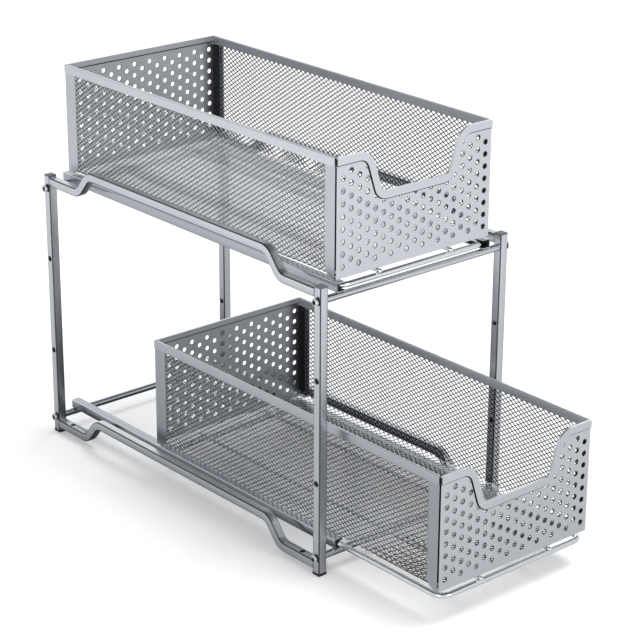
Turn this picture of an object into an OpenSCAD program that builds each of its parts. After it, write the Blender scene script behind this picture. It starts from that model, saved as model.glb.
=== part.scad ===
// Two-tier pull-out cabinet basket.
// A knock-down frame of square tube and round bars carries two identical
// mesh baskets that slide forward on wire loops held in C-section slides.
// Millimetres, +Z up. The front, where the baskets pull out, faces -Y.
// The origin is on the floor under the middle of the bounding box.

/* [Frame] */
// Width of the frame over the outer faces of the posts
frame_w = 254; // [244:1:320]
// Depth of the frame over the outer faces of the posts
frame_d = 470; // [466:1:560]
// Height of the top of the post tubes above the floor
post_top = 309.5; // [292:0.5:380]
// Side of the square tube of the posts
post_sq = 10; // [9:0.5:12]
// Wall of every square tube
tube_wall = 1; // [0.8:0.1:1.2]
// Side of the square tube of the side rails
rail_sq = 9.5; // [8.5:0.5:10]
// Height of the lower cross bars above the floor
low_bar_z = 19; // [18:0.5:24]
// Distance from the post tops down to the upper cross bars
top_bar_drop = 14; // [12:0.5:16]
// Diameter of the cross bars
bar_d = 7.5; // [7:0.25:8]
// Thickness of the foot pads
foot_t = 3; // [2:0.5:4]
// Thickness of the post caps
cap_t = 1.5; // [1:0.5:4]

/* [Side rails] */
// Length of the low straight part at each end of a rail
rail_low_len = 46; // [40:1:60]
// How far the middle of a rail stands above its ends
rail_rise = 24; // [18:1:30]
// Centre-line radius of the rail bends
rail_bend_r = 16; // [12:1:18]
// Angle of the rail bends
rail_bend_a = 50; // [40:1:60]
// Distance of the floor-screw holes from the ends of the lower rails
floor_hole_in = 21; // [16:1:30]
// Diameter of the floor-screw holes through the bottom wall
floor_hole_d = 4.5; // [4:0.1:5]

/* [Slides] */
// Distance from the centre plane to the outer face of a slide
slide_x = 103.5; // [103.5:0.5:106]
// Width of the C-section
slide_w = 10; // [9:0.5:11]
// Height of the C-section
slide_h = 10; // [9.6:0.1:10.6]
// Sheet thickness of the C-section
slide_t = 1; // [0.8:0.1:1]
// Diameter of the sliding wire loop
loop_d = 6; // [5:0.25:6]
// Distance from the centre plane to the loop's side wires
loop_x = 98.5; // [98:0.25:99]

/* [Basket] */
// Width of a basket over its corner strips
basket_w = 206; // [205:0.5:208]
// Length of a basket, front face to back face
basket_l = 452; // [420:1:456]
// Height of a basket from its floor to its rim
basket_h = 123; // [110:1:125]
// Outer bend radius between the mesh floor and the mesh sides
tray_r = 8; // [5:0.5:10]
// Depth of the dip in the front panel
dip_depth = 45; // [40:1:50]
// Distance from the centre plane to where the flat top of an ear ends
dip_ear_x = 74; // [72:1:80]
// Width of the hem along the top of the front panel
hem_w = 8; // [5:0.5:9]
// Thickness of the hems of the front and back panels
hem_t = 2.6; // [2.2:0.1:3]
// Height of the side rims
rim_h = 9.5; // [8:0.5:11]
// Width of the corner strips
strip_w = 18; // [14:1:20]
// Diameter of the wires under the basket floor
runner_d = 4.5; // [4:0.25:4.5]
// Distance of those wires from the centre plane
runner_x = 48; // [40:1:60]

/* [Perforation] */
// Diameter of the holes in the front and back panels
hole_d = 5.5; // [4:0.25:6]
// Spacing of the columns of holes
hole_dx = 10.55; // [10:0.05:10.7]
// Spacing of the holes in a column
hole_dz = 12.8; // [12.4:0.1:12.8]
// Number of columns
hole_cols = 19; // [9:1:19]
// Number of holes in a full column
hole_rows = 8; // [4:1:8]

/* [Position] */
// How far the lower basket stands pulled out
lower_out = 153; // [0:1:290]

/* [Hidden] */
$fn = 64;

silver = "#b4b7bf";
bright = "#d5d7da";
black = "#1c1c1e";
cap_grey = "#6d6f74";

// sheet and clearance
sheet = 0.8;
mesh_t = 0.6;
e = 0.01;

// heights
high_bar_z = post_top - top_bar_drop;
rail_low_z = low_bar_z - 3.5 - rail_sq / 2;      // centre of the lower rails' ends
rail_high_z = post_top - 1 - rail_sq / 2;        // centre of the upper rails' ends
slide_lift = bar_d / 2;                          // underside of a slide above its bar
loop_lift = slide_lift + slide_h / 2;            // wires run in the middle of the channels
floor_lift = loop_lift + loop_d / 2 + runner_d;  // basket floor above its bar

// depth positions, measured from the middle of the frame
foot_over = 0.4;                                 // how much wider than its post a foot is
runner_out = 3;                                  // floor wires' ends in front of the loop's front wire
post_y = frame_d / 2 - post_sq / 2;
front_face = -(frame_d / 2 - 4);                 // basket front face when pushed in
loop_front = 1.5;                                // loop's front wire behind that face
slide_front = front_face - 1;
slide_back = frame_d / 2 - 3;
back_most = frame_d / 2 + foot_over / 2;          // the rear feet
front_most = front_face + loop_front - runner_out - runner_d / 2 - lower_out;   // the tips of the wires under the floor
yc = -(back_most + front_most) / 2;              // middle of the frame in the model

// hardware
screw_d = 4;
bar_hole_d = 4.5;
spare_hole_d = 6.5;

// ---------- frame ----------

// one hollow square post; sx and sy are -1 or 1
module post_tube(sx, sy) {
  translate([sx * (frame_w / 2 - post_sq / 2), yc + sy * post_y, 0])
  difference() {
    translate([-post_sq / 2, -post_sq / 2, foot_t])
      cube([post_sq, post_sq, post_top - foot_t]);
    translate([-post_sq / 2 + tube_wall, -post_sq / 2 + tube_wall, foot_t - 1])
      cube([post_sq - 2 * tube_wall, post_sq - 2 * tube_wall, post_top - foot_t + 2]);
    // cross-bar screw holes and two wider spare pairs between them
    for (f = [0, 0.3, 0.7, 1])
      translate([-post_sq, 0, low_bar_z + f * (high_bar_z - low_bar_z)])
        rotate([0, 90, 0]) cylinder(d = f == 0 || f == 1 ? bar_hole_d : spare_hole_d, h = 2 * post_sq);
  }
}

// a plug with a flange; up = 1 for a cap, -1 for a foot
module tube_plug(sx, sy, z, t, over, up) {
  stem = post_sq - 2 * tube_wall - 0.3;
  w = post_sq + over;
  translate([sx * (frame_w / 2 - post_sq / 2), yc + sy * post_y, z])
  mirror([0, 0, up > 0 ? 0 : 1]) {
    translate([-w / 2, -w / 2, 0]) cube([w, w, t]);
    translate([-stem / 2, -stem / 2, -8]) cube([stem, stem, 8 + e]);
  }
}

// the rail's centre line lies in a plane; this is its edge at distance o above that line, for one
// half, from the end of the tube to the middle: low end, bend up, slope, bend level, raised middle
rail_total = frame_d - 2 * post_sq;
bend_steps = 12;
rise_s = (rail_rise - 2 * rail_bend_r * (1 - cos(rail_bend_a))) / sin(rail_bend_a);
rise_len = 2 * rail_bend_r * sin(rail_bend_a) + rise_s * cos(rail_bend_a);
function rail_half(o, x0) = concat(
  [[-x0, o]],
  [for (i = [0:bend_steps]) let (f = rail_bend_a * i / bend_steps)
    [rail_low_len + (rail_bend_r - o) * sin(f), rail_bend_r - (rail_bend_r - o) * cos(f)]],
  [for (i = [bend_steps:-1:0]) let (f = rail_bend_a * i / bend_steps)
    [rail_low_len + rise_len - (rail_bend_r + o) * sin(f), rail_rise - rail_bend_r + (rail_bend_r + o) * cos(f)]]);
function far_half(p) = [for (i = [len(p) - 1:-1:0]) [rail_total - p[i][0], p[i][1]]];
function backwards(p) = [for (i = [len(p) - 1:-1:0]) p[i]];
// a solid bar of side a along that line, running past both ends by x0
module rail_run(a, x0) {
  up = rail_half(a / 2, x0);
  dn = rail_half(-a / 2, x0);
  translate([0, 0, -a / 2]) linear_extrude(height = a)
    polygon(concat(up, far_half(up), backwards(concat(dn, far_half(dn)))));
}
module side_rail(sx, z, floor_holes) {
  x = sx * (frame_w / 2 - rail_sq / 2);
  difference() {
    translate([x, yc - rail_total / 2, z]) rotate([90, 0, 90]) rail_run(rail_sq, 0);
    translate([x, yc - rail_total / 2, z]) rotate([90, 0, 90]) rail_run(rail_sq - 2 * tube_wall, 1);
    if (floor_holes) for (sy = [-1, 1])
      translate([x, yc + sy * (rail_total / 2 - floor_hole_in), 0]) {
        translate([0, 0, z - rail_sq]) cylinder(d = floor_hole_d, h = rail_sq);
        translate([0, 0, z]) cylinder(d = floor_hole_d + 1.5, h = rail_sq);
      }
  }
}

// a round cross bar with a tapped hole in each end
module crossbar(sy, z) {
  l = frame_w - 2 * post_sq;
  translate([0, yc + sy * post_y, z]) rotate([0, 90, 0]) difference() {
    translate([0, 0, -l / 2]) cylinder(d = bar_d, h = l);
    for (s = [-1, 1]) translate([0, 0, s * (l / 2 - 6.5)]) cylinder(d = screw_d + 0.1, h = 15, center = true);
  }
}

// eight pan-head cross-recess screws, their lock washers and flat washers
module at_bar_ends() {
  for (sx = [-1, 1]) for (sy = [-1, 1]) for (z = [low_bar_z, high_bar_z])
    translate([sx * frame_w / 2, yc + sy * post_y, z]) rotate([0, sx * 90, 0]) children();
}
flat_t = 0.8; lock_t = 1; head_h = 2.6; head_d = 8.4;
module screw_one() {
  z = flat_t + lock_t;
  difference() {
    union() {
      translate([0, 0, z]) cylinder(d = head_d, h = head_h - 0.9);
      translate([0, 0, z + head_h - 0.9]) intersection() {
        cylinder(d = head_d, h = 0.9);
        translate([0, 0, -9.4]) sphere(d = 20.6, $fn = 96);
      }
      translate([0, 0, -(post_sq + 12)]) cylinder(d = screw_d, h = post_sq + 12 + z + e);
    }
    for (a = [0, 90]) rotate([0, 0, a])
      translate([-2.1, -0.5, z + head_h - 1.5]) cube([4.2, 1, 2]);
  }
}
module lock_washer_one() {
  translate([0, 0, flat_t]) difference() {
    cylinder(d = 7.6, h = lock_t);
    translate([0, 0, -1]) cylinder(d = 4.3, h = 4);
    rotate([0, 0, 30]) translate([0, -0.35, -1]) cube([5, 0.7, 4]);
  }
}
module flat_washer_one() {
  difference() {
    cylinder(d = 10, h = flat_t);
    translate([0, 0, -1]) cylinder(d = 4.4, h = 4);
  }
}

// C-section slide, open towards the middle; bz is the height of its bar
module slide(sx, bz) {
  z0 = bz + slide_lift;
  translate([0, yc, z0]) mirror([sx > 0 ? 1 : 0, 0, 0])
  translate([-slide_x, slide_back, 0]) rotate([90, 0, 0])
  linear_extrude(height = slide_back - slide_front) difference() {
    square([slide_w, slide_h]);
    translate([slide_t, slide_t]) square([slide_w, slide_h - 2 * slide_t]);
  }
}

// moulded guide pressed into the front end of a slide, with a groove that the loop runs in
guide_out = 1.2; guide_in = 12;
module guide(sx, bz) {
  z0 = bz + slide_lift;
  g = loop_d / 2 + 0.3;
  translate([0, yc, 0]) mirror([sx > 0 ? 1 : 0, 0, 0])
  difference() {
    translate([-slide_x + slide_t, slide_front - guide_out, z0 + slide_t])
      cube([slide_w - slide_t, guide_out + guide_in, slide_h - 2 * slide_t]);
    translate([-loop_x - g, slide_front - 20, bz + loop_lift - g]) cube([40, 60, 2 * g]);
  }
}

// ---------- baskets ----------
// local frame: x from the centre plane, y from the front face, z from the floor's underside

hw = basket_w / 2;
panel_hw = hw - sheet - mesh_t;         // half width between the mesh sides
dip_r1 = 9; dip_r2 = 20; dip_a = 18;    // lower radius, ear radius, slope of the dip's sides
face_y = 1.2;                           // the front panel's sheet stands this far behind its hem
back_in = 0.4;                          // and the back panel's sheet this far inside the back of its hem
seam = 1.1;                             // gap between the front panel and the strips and rims beside it
dip_z = basket_h - dip_depth;
c2x = dip_ear_x; c2z = basket_h - dip_r2;
wall_dz = (c2z + dip_r2 * sin(dip_a)) - (dip_z + dip_r1 * (1 - sin(dip_a)));
c1x = c2x - dip_r2 * cos(dip_a) - wall_dz * tan(dip_a) - dip_r1 * cos(dip_a);
c1z = dip_z + dip_r1;
function arc(cx, cz, r, a0, a1, n) = [for (i = [0:n]) let (a = a0 + (a1 - a0) * i / n) [cx + r * cos(a), cz + r * sin(a)]];
// right half of the dip's edge from the middle to the ear, set down by w
function dip_half(w) = concat(
  arc(c1x, c1z, dip_r1 + w, -90, -dip_a, 10),
  arc(c2x, c2z, dip_r2 - w, 180 - dip_a, 90, 14));
function rev_mirror(p) = [for (i = [len(p) - 1:-1:0]) [-p[i][0], p[i][1]]];
// everything under the front panel's top edge, lowered by w, its outer corners rounded by cr
module below_edge(w, cr = 0) {
  polygon(concat([[-hw, 0]],
    cr > 0 ? arc(-(hw - cr), basket_h - cr, cr, 180, 90, 6) : [[-hw, basket_h - w]],
    rev_mirror(dip_half(w)), dip_half(w),
    cr > 0 ? arc(hw - cr, basket_h - cr, cr, 90, 0, 6) : [[hw, basket_h - w]],
    [[hw, 0]]));
}
// the grid of holes; columns run in direction dir, and alternate ones stand half a pitch higher
module hole_grid(dir, odd) {
  for (c = [0:hole_cols - 1]) for (k = [0:hole_rows - 1])
    translate([dir * (c - (hole_cols - 1) / 2) * hole_dx, 11.5 + hole_dz * k + (((c + odd) % 2 == 0) ? 0 : hole_dz / 2)])
      circle(d = hole_d);
}
// stand a drawing of x and z up as a plate from y0 to y0 + t
module upright(y0, t) { translate([0, y0 + t, 0]) rotate([90, 0, 0]) linear_extrude(height = t) children(); }
// the folded-back edges that hold a panel inside the mesh; d is -1 for the front panel, 1 for the back
module panel_returns(y0, y1) {
  for (s = [-1, 1]) translate([s > 0 ? panel_hw - sheet : -panel_hw, y0, tray_r + 1])
    cube([sheet, y1 - y0, basket_h - rim_h - tray_r - 2]);
}

module front_panel() {
  upright(face_y, sheet) difference() {
    below_edge(0, 1.5);
    difference() {
      hole_grid(1, 0);
      // no holes through the hem
      difference() { below_edge(-1); below_edge(hem_w); }
    }
  }
  upright(0, hem_t) difference() {
    below_edge(0, 1.5);
    difference() { below_edge(hem_w); translate([0, -1]) square([4 * hw, 2], center = true); }
    translate([-2 * hw, -1]) square([4 * hw, 2]);
    // what lies below the hem at the outer edges
    for (s = [-1, 1]) translate([s > 0 ? hw - 1 : -hw - 1, -1]) square([2, basket_h - hem_w + 1]);
  }
  panel_returns(face_y + sheet - e, 13);
}

module back_panel() {
  upright(basket_l - back_in - sheet, sheet) difference() {
    union() {
      translate([-panel_hw, 0]) square([2 * panel_hw, basket_h - rim_h - 0.5]);
      // between the rims' inner lips
      translate([-(panel_hw - sheet), 1]) square([2 * (panel_hw - sheet), basket_h - 2]);
    }
    hole_grid(-1, 1);
  }
  upright(basket_l - hem_t, hem_t)
    translate([-(panel_hw - sheet), basket_h - 6]) square([2 * (panel_hw - sheet), 6]);
  panel_returns(basket_l - 13, basket_l - back_in - sheet + e);
}

// one sheet of expanded mesh bent into the floor and both sides
module u_outline(w, r, h) {
  translate([-w, r]) square([2 * w, h - r]);
  translate([-w + r, 0]) square([2 * (w - r), r + e]);
  for (s = [-1, 1]) translate([s * (w - r), r]) circle(r = r);
}
module mesh_tray() {
  w = hw - sheet;
  upright(hem_t, basket_l - hem_t - back_in - sheet) difference() {
    u_outline(w, tray_r, basket_h - sheet - 0.2);
    translate([0, mesh_t]) u_outline(w - mesh_t, tray_r - mesh_t, basket_h);
  }
}

// flat strip that binds a corner; end = 0 at the front, 1 at the back
module corner_strip(sx, end) {
  y0 = end == 0 ? 0 : basket_l;
  y1 = end == 0 ? hem_t + seam : 0;
  h = basket_h - sheet;
  translate([sx > 0 ? hw - sheet : -hw, y0, 0]) mirror([0, end, 0])
    rotate([90, 0, 90]) linear_extrude(height = sheet) difference() {
      translate([y1, 0]) square([strip_w - y1, h]);
      difference() {
        translate([strip_w - 12, -1]) square([13, 13]);
        translate([strip_w - 12, 12]) circle(r = 12);
      }
    }
}

// folded rim over the top of a mesh side
module side_rim(sx) {
  y1 = hem_t + seam;
  l = basket_l - y1;
  mirror([sx > 0 ? 0 : 1, 0, 0]) translate([0, y1, 0]) {
    translate([hw, 0, basket_h - rim_h]) cube([sheet, l, rim_h]);
    translate([panel_hw - sheet, 0, basket_h - sheet]) cube([hw - panel_hw + sheet + e, l, sheet]);
    translate([panel_hw - sheet, 0, basket_h - rim_h]) cube([sheet, l, rim_h]);
  }
}

// closed wire loop that runs in the slides
module slide_loop() {
  r = 12; y0 = loop_front; y1 = basket_l - 12;
  z = -runner_d - loop_d / 2;
  translate([0, 0, z]) {
    for (s = [-1, 1]) {
      translate([s * loop_x, y0 + r, 0]) rotate([-90, 0, 0]) cylinder(d = loop_d, h = y1 - y0 - 2 * r);
      translate([s * (loop_x - r), y0 + r, 0]) rotate([0, 0, s > 0 ? -90 : 180])
        rotate_extrude(angle = 90) translate([r, 0]) circle(d = loop_d);
      translate([s * (loop_x - r), y1 - r, 0]) rotate([0, 0, s > 0 ? 0 : 90])
        rotate_extrude(angle = 90) translate([r, 0]) circle(d = loop_d);
    }
    for (y = [y0, y1]) translate([-(loop_x - r), y, 0]) rotate([0, 90, 0]) cylinder(d = loop_d, h = 2 * (loop_x - r));
  }
}

// straight wire between the loop and the mesh floor, with domed ends
module runner(sx) {
  y0 = loop_front - runner_out; y1 = basket_l - 8;
  translate([sx * runner_x, 0, -runner_d / 2]) {
    translate([0, y0, 0]) rotate([-90, 0, 0]) cylinder(d = runner_d, h = y1 - y0);
    for (y = [y0, y1]) translate([0, y, 0]) sphere(d = runner_d, $fn = 48);
  }
}

module in_upper() { translate([0, yc + front_face, high_bar_z + floor_lift]) children(); }
module in_lower() { translate([0, yc + front_face - lower_out, low_bar_z + floor_lift]) children(); }

// ---------- sub-parts ----------
module front_left_post() { color(silver) post_tube(-1, -1); }
module front_right_post() { color(silver) post_tube(1, -1); }
module rear_left_post() { color(silver) post_tube(-1, 1); }
module rear_right_post() { color(silver) post_tube(1, 1); }
module upper_left_rail() { color(silver) side_rail(-1, rail_high_z, false); }
module upper_right_rail() { color(silver) side_rail(1, rail_high_z, false); }
module lower_left_rail() { color(silver) side_rail(-1, rail_low_z, true); }
module lower_right_rail() { color(silver) side_rail(1, rail_low_z, true); }
module upper_front_crossbar() { color(silver) crossbar(-1, high_bar_z); }
module upper_rear_crossbar() { color(silver) crossbar(1, high_bar_z); }
module lower_front_crossbar() { color(silver) crossbar(-1, low_bar_z); }
module lower_rear_crossbar() { color(silver) crossbar(1, low_bar_z); }
module upper_left_slide() { color(silver) slide(-1, high_bar_z); }
module upper_right_slide() { color(silver) slide(1, high_bar_z); }
module lower_left_slide() { color(silver) slide(-1, low_bar_z); }
module lower_right_slide() { color(silver) slide(1, low_bar_z); }
module upper_left_guide() { color(black) guide(-1, high_bar_z); }
module upper_right_guide() { color(black) guide(1, high_bar_z); }
module lower_left_guide() { color(black) guide(-1, low_bar_z); }
module lower_right_guide() { color(black) guide(1, low_bar_z); }
module front_left_cap() { color(cap_grey) tube_plug(-1, -1, post_top, cap_t, 0.2, 1); }
module front_right_cap() { color(cap_grey) tube_plug(1, -1, post_top, cap_t, 0.2, 1); }
module rear_left_cap() { color(cap_grey) tube_plug(-1, 1, post_top, cap_t, 0.2, 1); }
module rear_right_cap() { color(cap_grey) tube_plug(1, 1, post_top, cap_t, 0.2, 1); }
module front_left_foot() { color(black) tube_plug(-1, -1, foot_t, foot_t, foot_over, -1); }
module front_right_foot() { color(black) tube_plug(1, -1, foot_t, foot_t, foot_over, -1); }
module rear_left_foot() { color(black) tube_plug(-1, 1, foot_t, foot_t, foot_over, -1); }
module rear_right_foot() { color(black) tube_plug(1, 1, foot_t, foot_t, foot_over, -1); }
module crossbar_screws() { color(bright) at_bar_ends() screw_one(); }
module lock_washers() { color(bright) at_bar_ends() lock_washer_one(); }
module flat_washers() { color(bright) at_bar_ends() flat_washer_one(); }
module upper_front_panel() { color(silver) in_upper() front_panel(); }
module upper_back_panel() { color(silver) in_upper() back_panel(); }
module upper_mesh_tray() { color(silver) in_upper() mesh_tray(); }
module upper_front_left_strip() { color(silver) in_upper() corner_strip(-1, 0); }
module upper_front_right_strip() { color(silver) in_upper() corner_strip(1, 0); }
module upper_back_left_strip() { color(silver) in_upper() corner_strip(-1, 1); }
module upper_back_right_strip() { color(silver) in_upper() corner_strip(1, 1); }
module upper_left_rim() { color(silver) in_upper() side_rim(-1); }
module upper_right_rim() { color(silver) in_upper() side_rim(1); }
module upper_slide_loop() { color(bright) in_upper() slide_loop(); }
module upper_left_runner() { color(bright) in_upper() runner(-1); }
module upper_right_runner() { color(bright) in_upper() runner(1); }
module lower_front_panel() { color(silver) in_lower() front_panel(); }
module lower_back_panel() { color(silver) in_lower() back_panel(); }
module lower_mesh_tray() { color(silver) in_lower() mesh_tray(); }
module lower_front_left_strip() { color(silver) in_lower() corner_strip(-1, 0); }
module lower_front_right_strip() { color(silver) in_lower() corner_strip(1, 0); }
module lower_back_left_strip() { color(silver) in_lower() corner_strip(-1, 1); }
module lower_back_right_strip() { color(silver) in_lower() corner_strip(1, 1); }
module lower_left_rim() { color(silver) in_lower() side_rim(-1); }
module lower_right_rim() { color(silver) in_lower() side_rim(1); }
module lower_slide_loop() { color(bright) in_lower() slide_loop(); }
module lower_left_runner() { color(bright) in_lower() runner(-1); }
module lower_right_runner() { color(bright) in_lower() runner(1); }

front_left_post();
front_right_post();
rear_left_post();
rear_right_post();
upper_left_rail();
upper_right_rail();
lower_left_rail();
lower_right_rail();
upper_front_crossbar();
upper_rear_crossbar();
lower_front_crossbar();
lower_rear_crossbar();
upper_left_slide();
upper_right_slide();
lower_left_slide();
lower_right_slide();
upper_left_guide();
upper_right_guide();
lower_left_guide();
lower_right_guide();
front_left_cap();
front_right_cap();
rear_left_cap();
rear_right_cap();
front_left_foot();
front_right_foot();
rear_left_foot();
rear_right_foot();
crossbar_screws();
lock_washers();
flat_washers();
upper_front_panel();
upper_back_panel();
upper_mesh_tray();
upper_front_left_strip();
upper_front_right_strip();
upper_back_left_strip();
upper_back_right_strip();
upper_left_rim();
upper_right_rim();
upper_slide_loop();
upper_left_runner();
upper_right_runner();
lower_front_panel();
lower_back_panel();
lower_mesh_tray();
lower_front_left_strip();
lower_front_right_strip();
lower_back_left_strip();
lower_back_right_strip();
lower_left_rim();
lower_right_rim();
lower_slide_loop();
lower_left_runner();
lower_right_runner();
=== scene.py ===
"""Looks for the two-tier pull-out basket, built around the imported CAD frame. Metres, +Z up, front is -Y."""
import math

import bmesh
import bpy
import numpy as np
from mathutils import Matrix, Vector


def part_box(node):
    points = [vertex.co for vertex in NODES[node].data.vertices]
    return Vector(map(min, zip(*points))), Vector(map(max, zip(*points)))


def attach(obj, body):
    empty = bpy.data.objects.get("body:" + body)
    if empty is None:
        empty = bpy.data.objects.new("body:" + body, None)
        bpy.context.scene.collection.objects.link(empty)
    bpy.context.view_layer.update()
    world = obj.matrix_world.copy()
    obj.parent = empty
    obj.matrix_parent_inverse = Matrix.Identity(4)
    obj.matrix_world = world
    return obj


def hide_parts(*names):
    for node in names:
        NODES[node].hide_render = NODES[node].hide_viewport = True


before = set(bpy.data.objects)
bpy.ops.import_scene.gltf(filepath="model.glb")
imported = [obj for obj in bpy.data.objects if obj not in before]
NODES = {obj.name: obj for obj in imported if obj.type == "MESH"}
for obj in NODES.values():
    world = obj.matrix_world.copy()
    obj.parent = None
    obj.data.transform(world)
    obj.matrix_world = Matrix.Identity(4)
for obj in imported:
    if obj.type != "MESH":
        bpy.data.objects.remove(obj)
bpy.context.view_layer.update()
MM = 0.001

# ------------------------------------------------------------------ camera
AZ, EL, ROLL = math.radians(-40.8389), math.radians(21.4176), math.radians(0.3313)
FOCAL_PX = 2162.65
T = Vector((-58.1446, -163.5474, -2422.0344))
FRAME_Y = (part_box("front_left_post")[0][1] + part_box("rear_left_post")[1][1]) / 2 / MM


def aim():
    back = Vector((math.sin(AZ) * math.cos(EL), -math.cos(AZ) * math.cos(EL), math.sin(EL)))
    right = Vector((math.cos(AZ), math.sin(AZ), 0))
    up = back.cross(right)
    r0 = right * math.cos(ROLL) + up * math.sin(ROLL)
    r1 = -right * math.sin(ROLL) + up * math.cos(ROLL)
    rot = Matrix((r0, r1, back))
    place = -(rot.transposed() @ T) + Vector((0, FRAME_Y, 0))
    m = rot.transposed().to_4x4()
    m.translation = place * MM
    return m


cam_data = bpy.data.cameras.new("camera")
cam_data.sensor_width = 36
cam_data.lens = FOCAL_PX / 640 * 36
cam_data.clip_start = 0.05
cam_data.clip_end = 400
cam = bpy.data.objects.new("camera", cam_data)
bpy.context.scene.collection.objects.link(cam)
cam.matrix_world = aim()
bpy.context.scene.camera = cam


# ------------------------------------------------------------------ node helpers
def new_mat(name):
    m = bpy.data.materials.new(name)
    m.use_nodes = True
    nt = m.node_tree
    nt.nodes.clear()
    out = nt.nodes.new("ShaderNodeOutputMaterial")
    bsdf = nt.nodes.new("ShaderNodeBsdfPrincipled")
    nt.links.new(bsdf.outputs[0], out.inputs[0])
    return m, nt, bsdf


def coords(nt, scale=(1, 1, 1), shift=(0, 0, 0)):
    tc = nt.nodes.new("ShaderNodeTexCoord")
    mp = nt.nodes.new("ShaderNodeMapping")
    mp.inputs["Scale"].default_value = scale
    mp.inputs["Location"].default_value = shift
    nt.links.new(tc.outputs["Object"], mp.inputs["Vector"])
    return mp.outputs[0]


def noise(nt, vec, scale, detail=2.0, rough=0.5):
    n = nt.nodes.new("ShaderNodeTexNoise")
    n.inputs["Scale"].default_value = scale
    n.inputs["Detail"].default_value = detail
    n.inputs["Roughness"].default_value = rough
    nt.links.new(vec, n.inputs["Vector"])
    return n.outputs["Fac"]


def remap(nt, src, lo, hi, a=0.3, b=0.7):
    r = nt.nodes.new("ShaderNodeMapRange")
    r.inputs["From Min"].default_value = a
    r.inputs["From Max"].default_value = b
    r.inputs["To Min"].default_value = lo
    r.inputs["To Max"].default_value = hi
    nt.links.new(src, r.inputs["Value"])
    return r.outputs["Result"]


def two_colours(nt, fac, c0, c1, p0=0.3, p1=0.7):
    r = nt.nodes.new("ShaderNodeValToRGB")
    r.color_ramp.elements[0].position = p0
    r.color_ramp.elements[0].color = (*c0, 1)
    r.color_ramp.elements[1].position = p1
    r.color_ramp.elements[1].color = (*c1, 1)
    nt.links.new(fac, r.inputs["Fac"])
    return r.outputs["Color"]


def bump(nt, height, strength, distance, normal=None):
    b = nt.nodes.new("ShaderNodeBump")
    b.inputs["Strength"].default_value = strength
    b.inputs["Distance"].default_value = distance
    nt.links.new(height, b.inputs["Height"])
    if normal is not None:
        nt.links.new(normal, b.inputs["Normal"])
    return b.outputs["Normal"]


def paint(name, base, spread, metallic, rough, grain=1.0):
    """Satin silver powder coat: fine metallic flake, a slight orange peel, roughness that wanders."""
    m, nt, bsdf = new_mat(name)
    v = coords(nt)
    flake = noise(nt, v, 2600, 1.0)
    cloud = noise(nt, v, 14, 3.0)
    peel = noise(nt, v, 620, 2.0)
    dark = tuple(c * (1 - spread) for c in base)
    light = tuple(min(1, c * (1 + spread)) for c in base)
    mix = nt.nodes.new("ShaderNodeMath")
    mix.operation = "MULTIPLY_ADD"
    nt.links.new(flake, mix.inputs[0])
    mix.inputs[1].default_value = 0.55
    half = nt.nodes.new("ShaderNodeMath")
    half.operation = "MULTIPLY"
    nt.links.new(cloud, half.inputs[0])
    half.inputs[1].default_value = 0.45
    nt.links.new(half.outputs[0], mix.inputs[2])
    nt.links.new(two_colours(nt, mix.outputs[0], dark, light, 0.35, 0.65), bsdf.inputs["Base Color"])
    bsdf.inputs["Metallic"].default_value = metallic
    nt.links.new(remap(nt, cloud, rough - 0.04, rough + 0.04), bsdf.inputs["Roughness"])
    bsdf.inputs["Coat Weight"].default_value = 0.12
    bsdf.inputs["Coat Roughness"].default_value = 0.25
    nt.links.new(bump(nt, peel, 0.25 * grain, 0.00004), bsdf.inputs["Normal"])
    return m


def bright_metal(name, base, rough):
    """Plated steel: near mirror, with drawing lines and faint haze."""
    m, nt, bsdf = new_mat(name)
    v = coords(nt)
    haze = noise(nt, v, 90, 3.0)
    fine = noise(nt, v, 1500, 2.0)
    nt.links.new(two_colours(nt, haze, tuple(c * 0.95 for c in base), base), bsdf.inputs["Base Color"])
    bsdf.inputs["Metallic"].default_value = 1.0
    nt.links.new(remap(nt, haze, rough * 0.7, rough * 1.4), bsdf.inputs["Roughness"])
    nt.links.new(bump(nt, fine, 0.12, 0.00002), bsdf.inputs["Normal"])
    return m


def plastic(name, c0, c1, rough):
    """Moulded plastic with a fine spark-eroded grain."""
    m, nt, bsdf = new_mat(name)
    v = coords(nt)
    grain = noise(nt, v, 1400, 2.0)
    cloud = noise(nt, v, 60, 2.0)
    nt.links.new(two_colours(nt, cloud, c0, c1), bsdf.inputs["Base Color"])
    nt.links.new(remap(nt, grain, rough - 0.08, rough + 0.08), bsdf.inputs["Roughness"])
    bsdf.inputs["Specular IOR Level"].default_value = 0.45
    nt.links.new(bump(nt, grain, 0.35, 0.00005), bsdf.inputs["Normal"])
    return m


TUBE = paint("silver_tube_paint", (0.62, 0.635, 0.67), 0.05, 1.0, 0.30)
# painted dark reflection along every tube corner, the same silver paint shown as if it reflected dark surroundings
TUBE_CORNER_SHADE = paint("silver_tube_corner_painted_shade", (0.10, 0.104, 0.114), 0.06, 1.0, 0.34)
BAR = paint("silver_bar_paint", (0.62, 0.635, 0.67), 0.05, 1.0, 0.17)
SLIDE = paint("slide_paint", (0.44, 0.455, 0.49), 0.05, 1.0, 0.26)
# painted highlight: a light copy of the slide paint for the top fold and the ends
SLIDE_FOLD_HIGHLIGHT = paint("slide_fold", (0.80, 0.81, 0.84), 0.04, 1.0, 0.24)
PANEL = paint("panel_paint", (0.64, 0.655, 0.69), 0.04, 0.95, 0.32)
PANEL_IN = paint("panel_paint_inside", (0.64, 0.655, 0.69), 0.04, 0.95, 0.34)
# painted shade: the side strips are darker copies of the panel paint, and the lower tier's are darker still, as if in
# the upper basket's shade
STRIP_IN_SHADE = {"upper": paint("strip_paint", (0.55, 0.563, 0.595), 0.04, 0.95, 0.32),
         "lower": paint("strip_paint_low_painted_shade", (0.43, 0.442, 0.475), 0.04, 0.95, 0.32)}
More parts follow.
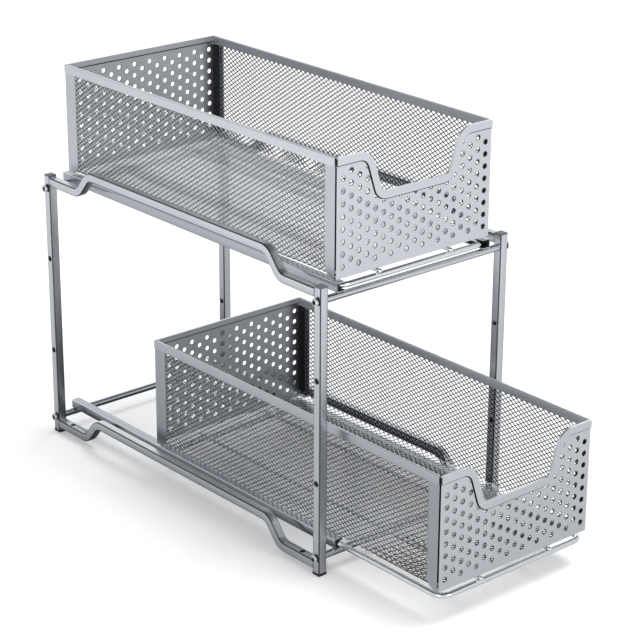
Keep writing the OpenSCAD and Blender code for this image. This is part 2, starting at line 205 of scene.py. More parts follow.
# the lower tier's rims in painted shade, a darker copy of the panel paint
FOLDED = {"upper": PANEL, "lower": paint("rim_paint_low", (0.50, 0.512, 0.545), 0.04, 0.95, 0.32)}
# painted shade on the rims' inner lips, one tone of the panel paint for each tier
LIP_SHADE = {"upper": paint("rim_inner_lip", (0.44, 0.451, 0.48), 0.04, 0.95, 0.36),
       "lower": paint("rim_inner_lip_low", (0.60, 0.614, 0.65), 0.04, 0.95, 0.36)}
# painted highlight: a bright copy of the panel paint for the hem edges and the tops of the rim folds
HEM_HIGHLIGHT = paint("panel_hem_edge", (0.84, 0.85, 0.87), 0.04, 0.95, 0.28)
# painted shade: near-black collars round the punched holes
HOLE_RIM_SHADE = paint("panel_hole_rim", (0.045, 0.046, 0.05), 0.08, 0.9, 0.42)
# painted shade: near-black for the plates' edges, hole walls and the hem fold lines
EDGE_SHADE = paint("panel_cut_edge", (0.016, 0.017, 0.019), 0.08, 0.8, 0.52)
# the mesh paint in three tones: the light tone, paler than the panel paint, is painted light; the turned strands and
# the inner faces are painted shade
MESH = paint("mesh_paint", (0.93, 0.935, 0.95), 0.05, 1.0, 0.32)
MESH_TURNED_SHADE = paint("mesh_paint_turned_painted_shade", (0.065, 0.067, 0.073), 0.08, 1.0, 0.36)
MESH_INSIDE_SHADE = paint("mesh_paint_inside_painted_shade", (0.03, 0.031, 0.034), 0.10, 1.0, 0.38)
WIRE = bright_metal("bright_wire", (0.86, 0.87, 0.89), 0.08)
ZINC = bright_metal("zinc_plate", (0.74, 0.75, 0.78), 0.16)
ZINC_SHADE = bright_metal("zinc_in_shade", (0.05, 0.051, 0.056), 0.30)
CAP = plastic("grey_cap_plastic", (0.115, 0.12, 0.13), (0.15, 0.155, 0.165), 0.45)
BLACK = plastic("black_guide_plastic", (0.008, 0.008, 0.009), (0.014, 0.014, 0.016), 0.42)
FOOT = plastic("black_foot_plastic", (0.012, 0.012, 0.014), (0.022, 0.022, 0.026), 0.55)


def dress(name, mat):
    o = NODES[name]
    for s in o.material_slots:
        s.material = mat
    if not o.material_slots:
        o.data.materials.append(mat)


for n in NODES:
    if n.endswith("_post") or n.endswith("_rail") or n.endswith("_crossbar"):
        dress(n, TUBE)
    elif n.endswith("_slide"):
        dress(n, SLIDE)
    elif n.endswith("_guide"):
        dress(n, BLACK)
    elif n.endswith("_cap"):
        dress(n, CAP)
    elif n.endswith("_foot"):
        dress(n, FOOT)
    elif n in ("crossbar_screws", "lock_washers", "flat_washers"):
        dress(n, ZINC)
    elif n.endswith("_strip"):
        dress(n, STRIP_IN_SHADE[n[:5]])
    elif n.endswith("_panel") or n.endswith("_rim"):
        dress(n, PANEL)
    elif n.endswith("_loop") or n.endswith("_runner"):
        dress(n, WIRE)
    elif n.endswith("_mesh_tray"):
        dress(n, MESH)


# ------------------------------------------------------------------ mesh code
def link(obj):
    bpy.context.scene.collection.objects.link(obj)
    return obj


def body_for(node):
    for tier in ("upper", "lower"):
        if node.startswith(tier + "_") and not node.endswith(("_rail", "_crossbar", "_slide", "_guide")):
            return tier + "_basket"
    return "frame"


def solid(name, verts, faces, mats, node, marks=None, angle=32):
    """Mesh object from millimetre points; it stands for a CAD node, and marks gives some faces the second material."""
    me = bpy.data.meshes.new(name)
    me.from_pydata([tuple(c * MM for c in v) for v in verts], [], faces)
    for m in mats:
        me.materials.append(m)
    if marks is not None:
        me.polygons.foreach_set("material_index", marks)
    bm = bmesh.new()
    bm.from_mesh(me)
    bmesh.ops.recalc_face_normals(bm, faces=bm.faces)
    bm.to_mesh(me)
    bm.free()
    o = link(bpy.data.objects.new(name, me))
    smooth(o, angle)
    if node:
        claim(o, node)
    return o


def smooth(o, angle=32):
    o.data.polygons.foreach_set("use_smooth", [True] * len(o.data.polygons))
    o.data.set_sharp_from_angle(angle=math.radians(angle))
    o.data.update()


def claim(o, node):
    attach(o, body_for(node))
    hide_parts(node)


def ring(pts, close=True):
    n = len(pts)
    return [(i, (i + 1) % n) for i in range(n if close else n - 1)]


def round_square(a, r, k=4):
    """Outline of a square of side a with corner radius r, and which of its sides lie in a corner."""
    pts, corner = [], []
    h = a / 2 - r
    for cx, cy, a0 in ((h, h, 0), (-h, h, 90), (-h, -h, 180), (h, -h, 270)):
        for i in range(k + 1):
            t = math.radians(a0 + 90 * i / k)
            pts.append((cx + r * math.cos(t), cy + r * math.sin(t)))
            corner.append(i < k)
    return pts, corner


def circle(r, k=32):
    return [(r * math.cos(2 * math.pi * i / k), r * math.sin(2 * math.pi * i / k)) for i in range(k)]


def sweep(stations, outline, closed=False):
    """Rings of outline at (origin, u, v) stations; returns points and the side faces."""
    verts, faces = [], []
    m = len(outline)
    for o, u, v in stations:
        for a, b in outline:
            verts.append(tuple(o[i] + a * u[i] + b * v[i] for i in range(3)))
    n = len(stations)
    for s in range(n if closed else n - 1):
        t = (s + 1) % n
        for i, j in ring(outline):
            faces.append((s * m + i, s * m + j, t * m + j, t * m + i))
    return verts, faces


def tube(name, stations, a, r, wall, mats, node):
    """Open-ended square tube with rounded corners along the stations; the corners take the second material, a painted
    dark reflection.
    """
    out, corner = round_square(a, r)
    inn, _ = round_square(a - 2 * wall, max(0.15, r - wall))
    v0, f0 = sweep(stations, out)
    v1, f1 = sweep(stations, inn)
    k, m, n = len(v0), len(out), len(stations)
    faces = f0 + [tuple(i + k for i in reversed(f)) for f in f1]
    marks = [1 if corner[i % m] else 0 for i in range(len(f0))] + [0] * len(f1)
    for s in (0, n - 1):
        for i, j in ring(out):
            faces.append((s * m + i, s * m + j, k + s * m + j, k + s * m + i))
            marks.append(0)
    return solid(name, v0 + v1, faces, mats, node, marks)


def drill(o, cutters):
    """Cuts round holes: each cutter is (middle, axis letter, diameter, length) in mm."""
    tools = []
    for at, axis, d, l in cutters:
        bm = bmesh.new()
        bmesh.ops.create_cone(bm, cap_ends=True, segments=40, radius1=d / 2 * MM, radius2=d / 2 * MM, depth=l * MM)
        if axis == "x":
            bmesh.ops.rotate(bm, verts=bm.verts, cent=(0, 0, 0), matrix=Matrix.Rotation(math.pi / 2, 3, "Y"))
        bmesh.ops.translate(bm, verts=bm.verts, vec=Vector(at) * MM)
        me = bpy.data.meshes.new("cutter")
        bm.to_mesh(me)
        bm.free()
        for m in o.data.materials:
            me.materials.append(m)
        tools.append(link(bpy.data.objects.new("cutter", me)))
    for t in tools:
        mod = o.modifiers.new("hole", "BOOLEAN")
        mod.operation = "DIFFERENCE"
        mod.solver = "EXACT"
        mod.object = t
    deps = bpy.context.evaluated_depsgraph_get()
    new = bpy.data.meshes.new_from_object(o.evaluated_get(deps))
    o.modifiers.clear()
    o.data = new
    for t in tools:
        bpy.data.objects.remove(t, do_unlink=True)
    smooth(o)


def mm_box(node):
    lo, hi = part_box(node)
    return [c / MM for c in lo], [c / MM for c in hi]


def edge_copy(node, mats, axis, inside):
    """Copy of a CAD plate: outer face, cut edges (every face not square to the axis), inner face (its side of the axis
    given by inside) and the rounded edge of the hem take the four materials; the edges are painted shade and the hem
    edge a painted highlight."""
    src = NODES[node]
    me = src.data.copy()
    me.materials.clear()
    for m in mats:
        me.materials.append(m)
    world = src.matrix_world.to_3x3()
    marks = []
    for p in me.polygons:
        nrm = (world @ p.normal).normalized()
        ys = [(src.matrix_world @ me.vertices[i].co).y for i in p.vertices]
        if abs(nrm[axis]) > 0.7:
            marks.append(2 if nrm[axis] * inside > 0 else 0)
        else:
            marks.append(3 if axis == 1 and abs(nrm.z) > 0.2 and 1.5 < (max(ys) - min(ys)) / MM < 4 else 1)
    me.polygons.foreach_set("material_index", marks)
    o = link(bpy.data.objects.new(node + "_skin", me))
    o.matrix_world = src.matrix_world.copy()
    claim(o, node)
    return o


def rolled_rims(node, side, d=5.5, width=0.42):
    """Thin collars on the punched face, where the sheet rolls into each hole of diameter d, painted dark as shade in
    the roll; side is the face's y sign.
    """
    src = NODES[node]
    bm = bmesh.new()
    bm.from_mesh(src.data)
    bmesh.ops.remove_doubles(bm, verts=bm.verts, dist=1e-6)
    bm.transform(src.matrix_world)
    bm.normal_update()
    rim = {}
    for e in bm.edges:
        if len(e.link_faces) != 2:
            continue
        n0, n1 = (f.normal for f in e.link_faces)
        if (n0.y * side > 0.9) != (n1.y * side > 0.9) and min(abs(n0.y), abs(n1.y)) < 0.2:
            rim.setdefault(e.verts[0], []).append(e.verts[1])
            rim.setdefault(e.verts[1], []).append(e.verts[0])
    verts, faces, seen = [], [], set()
    for start in rim:
        if start in seen:
            continue
        loop, stack = [], [start]
        while stack:
            v = stack.pop()
            if v in seen:
                continue
            seen.add(v)
            loop.append(v.co / MM)
            stack += rim[v]
        xs, zs = [c.x for c in loop], [c.z for c in loop]
        if abs(max(xs) - min(xs) - d) > 0.4 or abs(max(zs) - min(zs) - d) > 0.4:
            continue
        cx, cz, y = (max(xs) + min(xs)) / 2, (max(zs) + min(zs)) / 2, loop[0].y
        k, b = 28, len(verts)
        for r, lift in ((d / 2 - 0.03, -0.12), (d / 2 + width * 0.45, 0.05), (d / 2 + width, 0.005)):
            verts += [(cx + r * math.cos(2 * math.pi * i / k), y + side * lift, cz + r * math.sin(2 * math.pi * i / k)) for i in range(k)]
        for q in range(2):
            faces += [(b + q * k + i, b + q * k + j, b + (q + 1) * k + j, b + (q + 1) * k + i) for i, j in ring(range(k))]
    bm.free()
    me = bpy.data.meshes.new(node + "_hole_rims")
    me.from_pydata([tuple(c * MM for c in v) for v in verts], [], faces)
    me.materials.append(HOLE_RIM_SHADE)
    o = link(bpy.data.objects.new(node + "_hole_rims", me))
    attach(o, body_for(node))
    return o


def soft_copy(node, mat, width, segments=3, angle=35):
    """Copy of a moulded or turned CAD piece, with its sharp edges rounded when a width is given."""
    src = NODES[node]
    me = src.data.copy()
    me.materials.clear()
    me.materials.append(mat)
    bm = bmesh.new()
    bm.from_mesh(me)
    bmesh.ops.remove_doubles(bm, verts=bm.verts, dist=1e-6)
    bmesh.ops.dissolve_limit(bm, angle_limit=math.radians(1), verts=bm.verts, edges=bm.edges)
    if width:
        sharp = [e for e in bm.edges if len(e.link_faces) == 2 and e.calc_face_angle() > math.radians(angle)]
        bmesh.ops.bevel(bm, geom=sharp, offset=width * MM, offset_type="OFFSET", segments=segments, profile=0.5,
                        affect="EDGES", clamp_overlap=True)
    bm.to_mesh(me)
    bm.free()
    o = link(bpy.data.objects.new(node + "_skin", me))
    o.matrix_world = src.matrix_world.copy()
    smooth(o, 40)
    claim(o, node)
    return o


# ------------------------------------------------------------------ frame tubes
X, Y, Z = (1, 0, 0), (0, 1, 0), (0, 0, 1)
LOW_BAR, HIGH_BAR = 19.0, 295.5
for n in [n for n in NODES if n.endswith("_post")]:
    lo, hi = mm_box(n)
    cx, cy = (lo[0] + hi[0]) / 2, (lo[1] + hi[1]) / 2
    o = tube(n + "_tube", [((cx, cy, z), X, Y) for z in (lo[2], hi[2])], 10, 1.1, 1, (TUBE, TUBE_CORNER_SHADE), n)
    drill(o, [((cx, cy, LOW_BAR + f * (HIGH_BAR - LOW_BAR)), "x", 4.5 if f in (0, 1) else 6.5, 14) for f in (0, 0.3, 0.7, 1)])

LOW_LEN, RISE, BEND_R, BEND_A = 46.0, 24.0, 16.0, math.radians(50)
for n in [n for n in NODES if n.endswith("_rail")]:
    lo, hi = mm_box(n)
    cx, y0, total, z0 = (lo[0] + hi[0]) / 2, lo[1], hi[1] - lo[1], lo[2] + 4.75
    slope = (RISE - 2 * BEND_R * (1 - math.cos(BEND_A))) / math.sin(BEND_A)
    run = 2 * BEND_R * math.sin(BEND_A) + slope * math.cos(BEND_A)
    half = [(0, 0, 0)]
    half += [(LOW_LEN + BEND_R * math.sin(f), BEND_R - BEND_R * math.cos(f), f) for f in (BEND_A * i / 12 for i in range(13))]
    half += [(LOW_LEN + run - BEND_R * math.sin(f), RISE - BEND_R + BEND_R * math.cos(f), f) for f in (BEND_A * i / 12 for i in range(12, -1, -1))]
    path = half + [(total - s, z, -f) for s, z, f in reversed(half)]
    st = [((cx, y0 + s, z0 + z), X, (0, -math.sin(f), math.cos(f))) for s, z, f in path]
    o = tube(n + "_tube", st, 9.5, 1.1, 1, (TUBE, TUBE_CORNER_SHADE), n)
    if n.startswith("lower"):
        drill(o, [((cx, y, z0 + dz), "z", d, 9.5) for y in (y0 + 21, hi[1] - 21) for d, dz in ((4.5, -4.75), (6.0, 4.75))])

for n in [n for n in NODES if n.endswith("_crossbar")]:
    lo, hi = mm_box(n)
    cy, cz, r = (lo[1] + hi[1]) / 2, (lo[2] + hi[2]) / 2, (hi[2] - lo[2]) / 2
    v, f = sweep([((x, cy, cz), Y, Z) for x in (lo[0], hi[0])], circle(r, 40))
    m = len(v) // 2
    f += [tuple(range(m)), tuple(range(2 * m - 1, m - 1, -1))]
    o = solid(n + "_bar", v, f, (BAR,), n)
    drill(o, [((x, cy, cz), "x", 4.1, 15 + 13) for x in (lo[0], hi[0])])


def profile_along_y(name, pts, y0, y1, mats, node, folds=(), ends=0):
    """Solid of one x, z outline from y0 to y1, ends closed; the outline's sides listed in folds, and the ends, can take the second material."""
    n = len(pts)
    v = [(x, y, z) for y in (y0, y1) for x, z in pts]
    f = [(i, j, n + j, n + i) for i, j in ring(pts)] + [tuple(range(n)), tuple(range(2 * n - 1, n - 1, -1))]
    marks = [1 if i in folds else 0 for i in range(n)] + [ends, ends]
    return solid(name, v, f, mats, node, marks)


def fillet(cx, cz, r, a0, a1, k=4):
    return [(cx + r * math.cos(math.radians(a0 + (a1 - a0) * i / k)), cz + r * math.sin(math.radians(a0 + (a1 - a0) * i / k))) for i in range(k + 1)]


# C-section slides with rounded folds, open towards the middle; the top outer fold and the ends carry a painted
# highlight
for n in [n for n in NODES if n.endswith("_slide")]:
    lo, hi = mm_box(n)
    s = -1 if lo[0] < 0 else 1
    out, inn = (lo[0], hi[0]) if s < 0 else (hi[0], lo[0])      # web side, open side
    w, h, t, r = abs(inn - out), hi[2] - lo[2], 1.0, 1.3
    loc = [(w, 0)] + fillet(r, r, r, -90, -180) + fillet(r, h - r, r, 180, 90) + [(w, h), (w, h - t)]
    loc += fillet(r, h - r, r - t, 90, 180, 2) + fillet(r, r, r - t, 180, 270, 2) + [(w, t)]
    profile_along_y(n + "_channel", [(out - s * x, lo[2] + z) for x, z in loc], lo[1], hi[1], (SLIDE, SLIDE_FOLD_HIGHLIGHT), n, (7, 8, 9), 1)

FRAME_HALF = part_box("front_right_post")[1][0]
BAR_YS = [(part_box(n)[0][1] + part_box(n)[1][1]) / 2 for n in ("upper_front_crossbar", "upper_rear_crossbar")]
for n in NODES:
    if n.endswith("_guide"):
        soft_copy(n, BLACK, 0.25, 2)
    elif n.endswith("_cap"):
        soft_copy(n, CAP, 0.6, 3)
    elif n.endswith("_foot"):
        soft_copy(n, FOOT, 0.5, 3)
    # the lock washers all in painted shade
    elif n == "lock_washers":
        soft_copy(n, ZINC_SHADE, 0, angle=40)
    elif n in ("crossbar_screws", "flat_washers"):
        o = soft_copy(n, ZINC, 0, angle=40)
        o.data.materials.append(ZINC_SHADE)
        for p in o.data.polygons:
            # rims, recess walls and recess floors sit in painted shade
            c = o.matrix_world @ p.center
            flat = abs((o.matrix_world.to_3x3() @ p.normal).normalized().x) > 0.6
            bar_y = min((BAR_YS), key=lambda y: abs(y - c.y))
            bar_z = min((LOW_BAR * MM, HIGH_BAR * MM), key=lambda z: abs(z - c.z))
            out = (abs(c.x) - FRAME_HALF) / MM
            near = math.hypot(c.y - bar_y, c.z - bar_z) / MM
            if n == "flat_washers":
                p.material_index = 0 if flat else 1
            elif near < 2.7:
                p.material_index = 1

# ------------------------------------------------------------------ baskets
HW, PANEL_HW, SHEET_T, BASKET_H, RIM_H = 103.0, 101.6, 0.8, 123.0, 9.5
for tier in ("upper", "lower"):
    edge_copy(tier + "_front_panel", (PANEL, EDGE_SHADE, PANEL_IN, HEM_HIGHLIGHT), 1, 1)
    edge_copy(tier + "_back_panel", (PANEL, EDGE_SHADE, PANEL_IN, HEM_HIGHLIGHT), 1, -1)
    rolled_rims(tier + "_front_panel", -1)
    rolled_rims(tier + "_back_panel", -1)
    for side, s in (("left", -1), ("right", 1)):
        edge_copy("%s_front_%s_strip" % (tier, side), (STRIP_IN_SHADE[tier], EDGE_SHADE, PANEL_IN, HEM_HIGHLIGHT), 0, -s)
        n = "%s_%s_rim" % (tier, side)
        lo, hi = mm_box(n)
        top, bot = hi[2], lo[2]
        xo, xi = HW + SHEET_T, PANEL_HW - SHEET_T
        r, t = 1.3, SHEET_T
        pts = [(xo, bot)] + fillet(xo - r, top - r, r, 0, 90) + fillet(xi + r, top - r, r, 90, 180) + [(xi, bot), (xi + t, bot)]
        pts += fillet(xi + r, top - r, r - t, 180, 90, 2) + fillet(xo - r, top - r, r - t, 90, 0, 2) + [(xo - t, bot)]
        fold = profile_along_y(n + "_fold", [(s * x, z) for x, z in pts], lo[1], hi[1], (FOLDED[tier], LIP_SHADE[tier], HEM_HIGHLIGHT), n, (9, 10))
        for i in range(3, 8):
            fold.data.polygons[i].material_index = 2          # the top of the fold in a painted highlight
    # the loop
    n = tier + "_slide_loop"
    lo, hi = mm_box(n)
    d = hi[2] - lo[2]
    cz, r = (lo[2] + hi[2]) / 2, 12.0
    st = []
    for cx, cy, a0 in ((hi[0] - d / 2 - r, hi[1] - d / 2 - r, 0), (lo[0] + d / 2 + r, hi[1] - d / 2 - r, 90),
                       (lo[0] + d / 2 + r, lo[1] + d / 2 + r, 180), (hi[0] - d / 2 - r, lo[1] + d / 2 + r, 270)):
        for i in range(13):
            a = math.radians(a0 + 90 * i / 12)
            c, s_ = math.cos(a), math.sin(a)
            st.append(((cx + r * c, cy + r * s_, cz), (c, s_, 0), Z))
    v, f = sweep(st, circle(d / 2, 36), closed=True)
    solid(n + "_wire", v, f, (WIRE,), n, angle=60)
    for side in ("left", "right"):
        n = "%s_%s_runner" % (tier, side)
        lo, hi = mm_box(n)
        cx, cz, r = (lo[0] + hi[0]) / 2, (lo[2] + hi[2]) / 2, (hi[0] - lo[0]) / 2
        st, rad = [], []
        for i in range(9):
            a = math.pi / 2 * i / 8
            st.append(lo[1] + r - r * math.cos(a))
            rad.append(max(r * math.sin(a), 0.02))
        ys = st + [lo[1] + hi[1] - y for y in reversed(st)]
        rad = rad + rad[::-1]
        k = 32
        v = [(cx + q * a, y, cz + q * b) for y, q in zip(ys, rad) for a, b in circle(1, k)]
        f = [(q * k + i, q * k + j, (q + 1) * k + j, (q + 1) * k + i) for q in range(len(ys) - 1) for i, j in ring(range(k))]
        f += [tuple(range(k)), tuple(range(len(v) - 1, len(v) - k - 1, -1))]
        solid(n + "_wire", v, f, (WIRE,), n, angle=60)


# ------------------------------------------------------------------ fold lines of the hems, dark strips of painted shadow under each hem's step
DIP_DEPTH, EAR_X, R1, R2, DIP_A, HEM_W = 45.0, 74.0, 9.0, 20.0, math.radians(18), 8.0
FACE_Y, BACK_FACE, BACK_HEM = 1.2, 1.2, 6.0


def dip_line(w):
    """The front panel's top edge, set down by w: x and z from the middle of the panel's bottom edge."""
    dip_z, c2z = BASKET_H - DIP_DEPTH, BASKET_H - R2
    wall = (c2z + R2 * math.sin(DIP_A)) - (dip_z + R1 * (1 - math.sin(DIP_A)))
    c1x = EAR_X - R2 * math.cos(DIP_A) - wall * math.tan(DIP_A) - R1 * math.cos(DIP_A)
    a = math.degrees(DIP_A)
    right = fillet(c1x, dip_z + R1, R1 + w, -90, -a, 12) + fillet(EAR_X, c2z, R2 - w, 180 - a, 90, 16) + [(HW - 0.1, BASKET_H - w)]
    return [(-x, z) for x, z in reversed(right)] + right


def ribbon(name, upper, lower, y0, y1, node):
    """Thin closed strip between two lines of x and z, from y0 to y1, that rides with a node's body."""
    n = len(upper)
    v = [(x, y, z) for y in (y0, y1) for line in (upper, lower) for x, z in line]
    f = []
    for i in range(n - 1):
        a, b, c, d = i, i + 1, n + i + 1, n + i
        f += [(a, b, c, d), (2 * n + d, 2 * n + c, 2 * n + b, 2 * n + a), (a, 2 * n + a, 2 * n + b, b), (d, c, 2 * n + c, 2 * n + d)]
    for i in (0, n - 1):
        f.append((i, n + i, 3 * n + i, 2 * n + i))
    # the strip is dark as a painted shadow
    o = solid(name, v, f, (EDGE_SHADE,), None)
    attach(o, body_for(node))
    return o


for tier in ("upper", "lower"):
    n = tier + "_front_panel"
    lo, hi = mm_box(n)
    place = lambda line: [(x, lo[2] + z) for x, z in line]
    ribbon(n + "_fold_painted_shadow", place(dip_line(HEM_W)), place(dip_line(HEM_W + 1.2)), lo[1] + FACE_Y - 0.1, lo[1] + FACE_Y + 0.1, n)
    n = tier + "_back_panel"
    lo, hi = mm_box(n)
    z = hi[2] - BACK_HEM
    ribbon(n + "_fold_painted_shadow", [(-100.6, z), (100.6, z)], [(-100.6, z - 1.6), (100.6, z - 1.6)], hi[1] - BACK_FACE - 0.1, hi[1] - BACK_FACE + 0.1, n)


# ------------------------------------------------------------------ expanded mesh
CELL_Y, CELL_S = 7.69, 5.13     # long and short way of a diamond
STRAND, THICK, TILT = 0.84, 0.6, 0.12
HALF_W, TRAY_R, SHEET = 103.0 - 0.8 - 0.3, 7.7, 0.6


def along_u(s, h):
    """Point and outward normal of the bent sheet at distance s from the middle of the floor, in x and z (mm)."""
    flat = HALF_W - TRAY_R
    side = np.sign(s)
    a = np.abs(s)
    arc = TRAY_R * math.pi / 2
    phi = np.clip((a - flat) / TRAY_R, 0, math.pi / 2)
    x = np.where(a < flat, a, flat + TRAY_R * np.sin(phi))
    z = np.where(a < flat, 0, TRAY_R * (1 - np.cos(phi)))
    z = z + np.clip(a - flat - arc, 0, None)
    nx = np.sin(phi)
    nz = -np.cos(phi)
    return side * x, z + 0.3, side * nx, nz


def mesh_tray(tier):
    lo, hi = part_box(tier + "_mesh_tray")
    y0, y1 = lo[1] / MM + 0.3, hi[1] / MM - 0.3
    z0 = lo[2] / MM
    top = 115.0                      # under the rim
    s_max = (HALF_W - TRAY_R) + TRAY_R * math.pi / 2 + top - TRAY_R
    ny = int((y1 - y0) / (CELL_Y / 2))
    ns = int(s_max / (CELL_S / 2))
    yc = (y0 + y1) / 2
    m0 = ny // 2
    theta = math.atan2(CELL_S, CELL_Y)
    h = STRAND / 2
    da, db = h / math.sin(theta), h / math.cos(theta)
    idx = {}
    faces, marks = [], []
    grid = [(m, n) for n in range(-ns, ns + 1) for m in range(-m0, m0 + 1) if (m + n) % 2 == 0]
    arr = np.array(grid, float)
    cy, cs = arr[:, 0] * CELL_Y / 2, arr[:, 1] * CELL_S / 2
    offs = ((da, 0, 0), (0, db, -TILT), (-da, 0, 0), (0, -db, TILT))
    pts = np.zeros((len(grid), 8, 3))
    for k, (oy, os_, on) in enumerate(offs):
        s = np.clip(cs + os_, -s_max, s_max)
        x, z, nx, nz = along_u(s, 0)
        y = np.clip(cy + oy, y0 - yc, y1 - yc)
        for layer, d in ((0, THICK / 2 + on), (1, -THICK / 2 + on)):
            # the tilt turns the same way on both sides, so it follows s and not the side
            pts[:, k + 4 * layer, 0] = x + nx * d
            pts[:, k + 4 * layer, 1] = y + yc
            pts[:, k + 4 * layer, 2] = z + nz * d + z0
    where = {g: i for i, g in enumerate(grid)}
    flat = (HALF_W - TRAY_R + TRAY_R * math.pi / 4) / (CELL_S / 2)      # the floor's part of the lattice, in half cells
    v = pts.reshape(-1, 3) * MM
    for (m, n), i in where.items():
        b = i * 8
        faces.append((b + 0, b + 1, b + 2, b + 3))
        faces.append((b + 7, b + 6, b + 5, b + 4))
        wall = abs(n) > flat
        marks += [1, 2] if wall else [0, 0]
        for dm in (1, -1):
            j = where.get((m + dm, n + 1))
            if j is None:
                continue
            c = j * 8
            if dm == 1:
                p, q, r, t = b + 0, c + 3, c + 2, b + 1      # right, its bottom, its left, top
            else:
                p, q, r, t = b + 1, c + 0, c + 3, b + 2      # top, its right, its bottom, left
            faces.append((p, q, r, t))
            faces.append((t + 4, r + 4, q + 4, p + 4))
            faces.append((p, p + 4, q + 4, q))
            faces.append((r, r + 4, t + 4, t))
            # on the walls the strands that fall towards the back are turned away from the light, and their outer faces
            # take the painted shade
            turned = dm == (1 if n < 0 else -1)
            # the lower floor's strand undersides and sides are painted dark step by step towards the front panel,
            # painted shade of that panel
            shade = 2 if tier == "lower" and (-0.5 * m0 - m) / (0.3 * m0) > ((m * 7 + n * 13) % 16) / 16 else 0
            marks += [1 if turned else 0, 2, 2, 2] if wall else [0, shade, shade, shade]
    me = bpy.data.meshes.new(tier + "_expanded_mesh")
    me.from_pydata([tuple(a) for a in v], [], faces)
    for m in (MESH, MESH_TURNED_SHADE, MESH_INSIDE_SHADE):
        me.materials.append(m)
    me.polygons.foreach_set("material_index", marks)
    me.update()
    o = link(bpy.data.objects.new(tier + "_expanded_mesh", me))
    bm = bmesh.new()
    bm.from_mesh(me)
    bmesh.ops.recalc_face_normals(bm, faces=bm.faces)
    bm.to_mesh(me)
    bm.free()
    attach(o, tier + "_basket")
    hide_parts(tier + "_mesh_tray")
    return o


for tier in ("upper", "lower"):
    mesh_tray(tier)


# ------------------------------------------------------------------ stage
def plane(name, size, z, mat):
    me = bpy.data.meshes.new(name)
    s = size / 2
    me.from_pydata([(-s, -s, z), (s, -s, z), (s, s, z), (-s, s, z)], [], [(0, 1, 2, 3)])
    me.materials.append(mat)
    return link(bpy.data.objects.new(name, me))


floor_mat, nt, bsdf = new_mat("floor_white")
v = coords(nt)
nt.links.new(two_colours(nt, noise(nt, v, 3.0), (0.79, 0.79, 0.79), (0.81, 0.81, 0.81)), bsdf.inputs["Base Color"])
bsdf.inputs["Roughness"].default_value = 0.9
bsdf.inputs["Specular IOR Level"].default_value = 0.1
bsdf.inputs["Emission Color"].default_value = (1, 1, 1, 1)
bsdf.inputs["Emission Strength"].default_value = 0.20
floor = plane("floor", 240, -0.0002, floor_mat)
floor.visible_glossy = False
floor.visible_diffuse = False

# what the metal sees in place of the white floor: a grey card that lightens away from the object
card_mat = bpy.data.materials.new("floor_card")
card_mat.use_nodes = True
nt = card_mat.node_tree
nt.nodes.clear()
out = nt.nodes.new("ShaderNodeOutputMaterial")
em = nt.nodes.new("ShaderNodeEmission")
em.inputs["Color"].default_value = (0.97, 0.985, 1, 1)
nt.links.new(em.outputs[0], out.inputs[0])


def vec(op, a, b=None):
    n = nt.nodes.new("ShaderNodeVectorMath")
    n.operation = op
    nt.links.new(a, n.inputs[0])
    if b is not None:
        n.inputs[1].default_value = b
    return n.outputs["Value" if op in ("LENGTH", "DOT_PRODUCT") else "Vector"]


def times(a, b):
    n = nt.nodes.new("ShaderNodeMath")
    n.operation = "MULTIPLY"
    nt.links.new(a, n.inputs[0])
    nt.links.new(b, n.inputs[1])
    return n.outputs[0]


far = remap(nt, vec("LENGTH", coords(nt)), 0.60, 1.06, 0.20, 1.15)
towards = remap(nt, vec("DOT_PRODUCT", coords(nt), (-0.75, -0.66, 0)), 0.82, 1.17, -0.3, 0.5)
under = remap(nt, vec("LENGTH", coords(nt, (1 / 0.17, 1 / 0.42, 1), (0, -0.28, 0))), 0.10, 1.0, 0.75, 1.15)
nt.links.new(times(times(far, towards), under), em.inputs["Strength"])
card_mat.cycles.emission_sampling = "NONE"
card = plane("floor_card", 24, -0.002, card_mat)
card.visible_camera = False
card.visible_shadow = False

# and a dark board overhead, which gives round bars and wires their dark upper line
board_mat, nt, bsdf = new_mat("overhead_board")
nt.links.new(two_colours(nt, noise(nt, coords(nt), 4.0), (0.07, 0.07, 0.073), (0.09, 0.09, 0.093)), bsdf.inputs["Base Color"])
bsdf.inputs["Roughness"].default_value = 0.9
board = plane("overhead_board", 3.6, 2.2, board_mat)
for flag in ("visible_camera", "visible_diffuse", "visible_shadow", "visible_transmission"):
    setattr(board, flag, False)


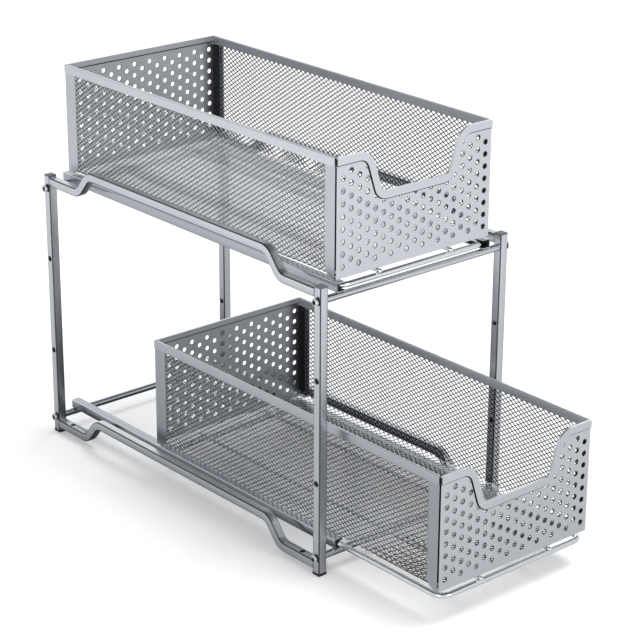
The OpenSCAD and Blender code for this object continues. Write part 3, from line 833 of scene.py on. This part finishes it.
# a bright horizon behind the object, which the upward faces see
glow_mat = bpy.data.materials.new("horizon_glow")
glow_mat.use_nodes = True
nt = glow_mat.node_tree
nt.nodes.clear()
out = nt.nodes.new("ShaderNodeOutputMaterial")
em = nt.nodes.new("ShaderNodeEmission")
em.inputs["Color"].default_value = (0.97, 0.985, 1, 1)
nt.links.new(em.outputs[0], out.inputs[0])
nt.links.new(remap(nt, vec("DOT_PRODUCT", coords(nt), (0, 0, 1)), 1.28, 0.98, 0.2, 2.0), em.inputs["Strength"])
glow_mat.cycles.emission_sampling = "NONE"
me = bpy.data.meshes.new("horizon_glow")
gx, gy = math.sin(-AZ), math.cos(AZ)
me.from_pydata([(gx * 2.7 + gy * w, gy * 2.7 - gx * w, z) for w, z in ((-1.6, 0.15), (1.6, 0.15), (1.6, 2.0), (-1.6, 2.0))], [], [(0, 1, 2, 3)])
me.materials.append(glow_mat)
glow = link(bpy.data.objects.new("horizon_glow", me))
for flag in ("visible_camera", "visible_diffuse", "visible_shadow", "visible_transmission"):
    setattr(glow, flag, False)


def area(name, place, target, size, power, colour=(1, 1, 1), size_y=None):
    d = bpy.data.lights.new(name, "AREA")
    d.shape = "RECTANGLE"
    d.size = size
    d.size_y = size_y or size
    d.energy = power
    d.color = colour
    o = link(bpy.data.objects.new(name, d))
    o.location = place
    o.rotation_euler = (Vector(target) - Vector(place)).to_track_quat("-Z", "Y").to_euler()
    return o


def sun(name, towards, angle, strength):
    d = bpy.data.lights.new(name, "SUN")
    d.angle = math.radians(angle)
    d.energy = strength
    o = link(bpy.data.objects.new(name, d))
    o.rotation_euler = Vector(towards).to_track_quat("-Z", "Y").to_euler()
    return o


C = (0, 0, 0.2)
sun("dome", (-0.28, 0.12, -1), 30, 1.75).visible_glossy = False
area("left", (-2.6, -1.2, 1.3), C, 1.4, 14)
area("front", (0.7, -3.0, 1.5), C, 1.4, 14)
world = bpy.data.worlds.new("world")
bpy.context.scene.world = world
world.use_nodes = True
wn = world.node_tree
bg = wn.nodes["Background"]
bg.inputs["Color"].default_value = (0.96, 0.98, 1.0, 1)
bg.inputs["Strength"].default_value = 0.72

scene = bpy.context.scene
scene.view_settings.view_transform = "Standard"
scene.view_settings.look = "None"
scene.view_settings.exposure = 0.0
scene.view_settings.gamma = 1.0
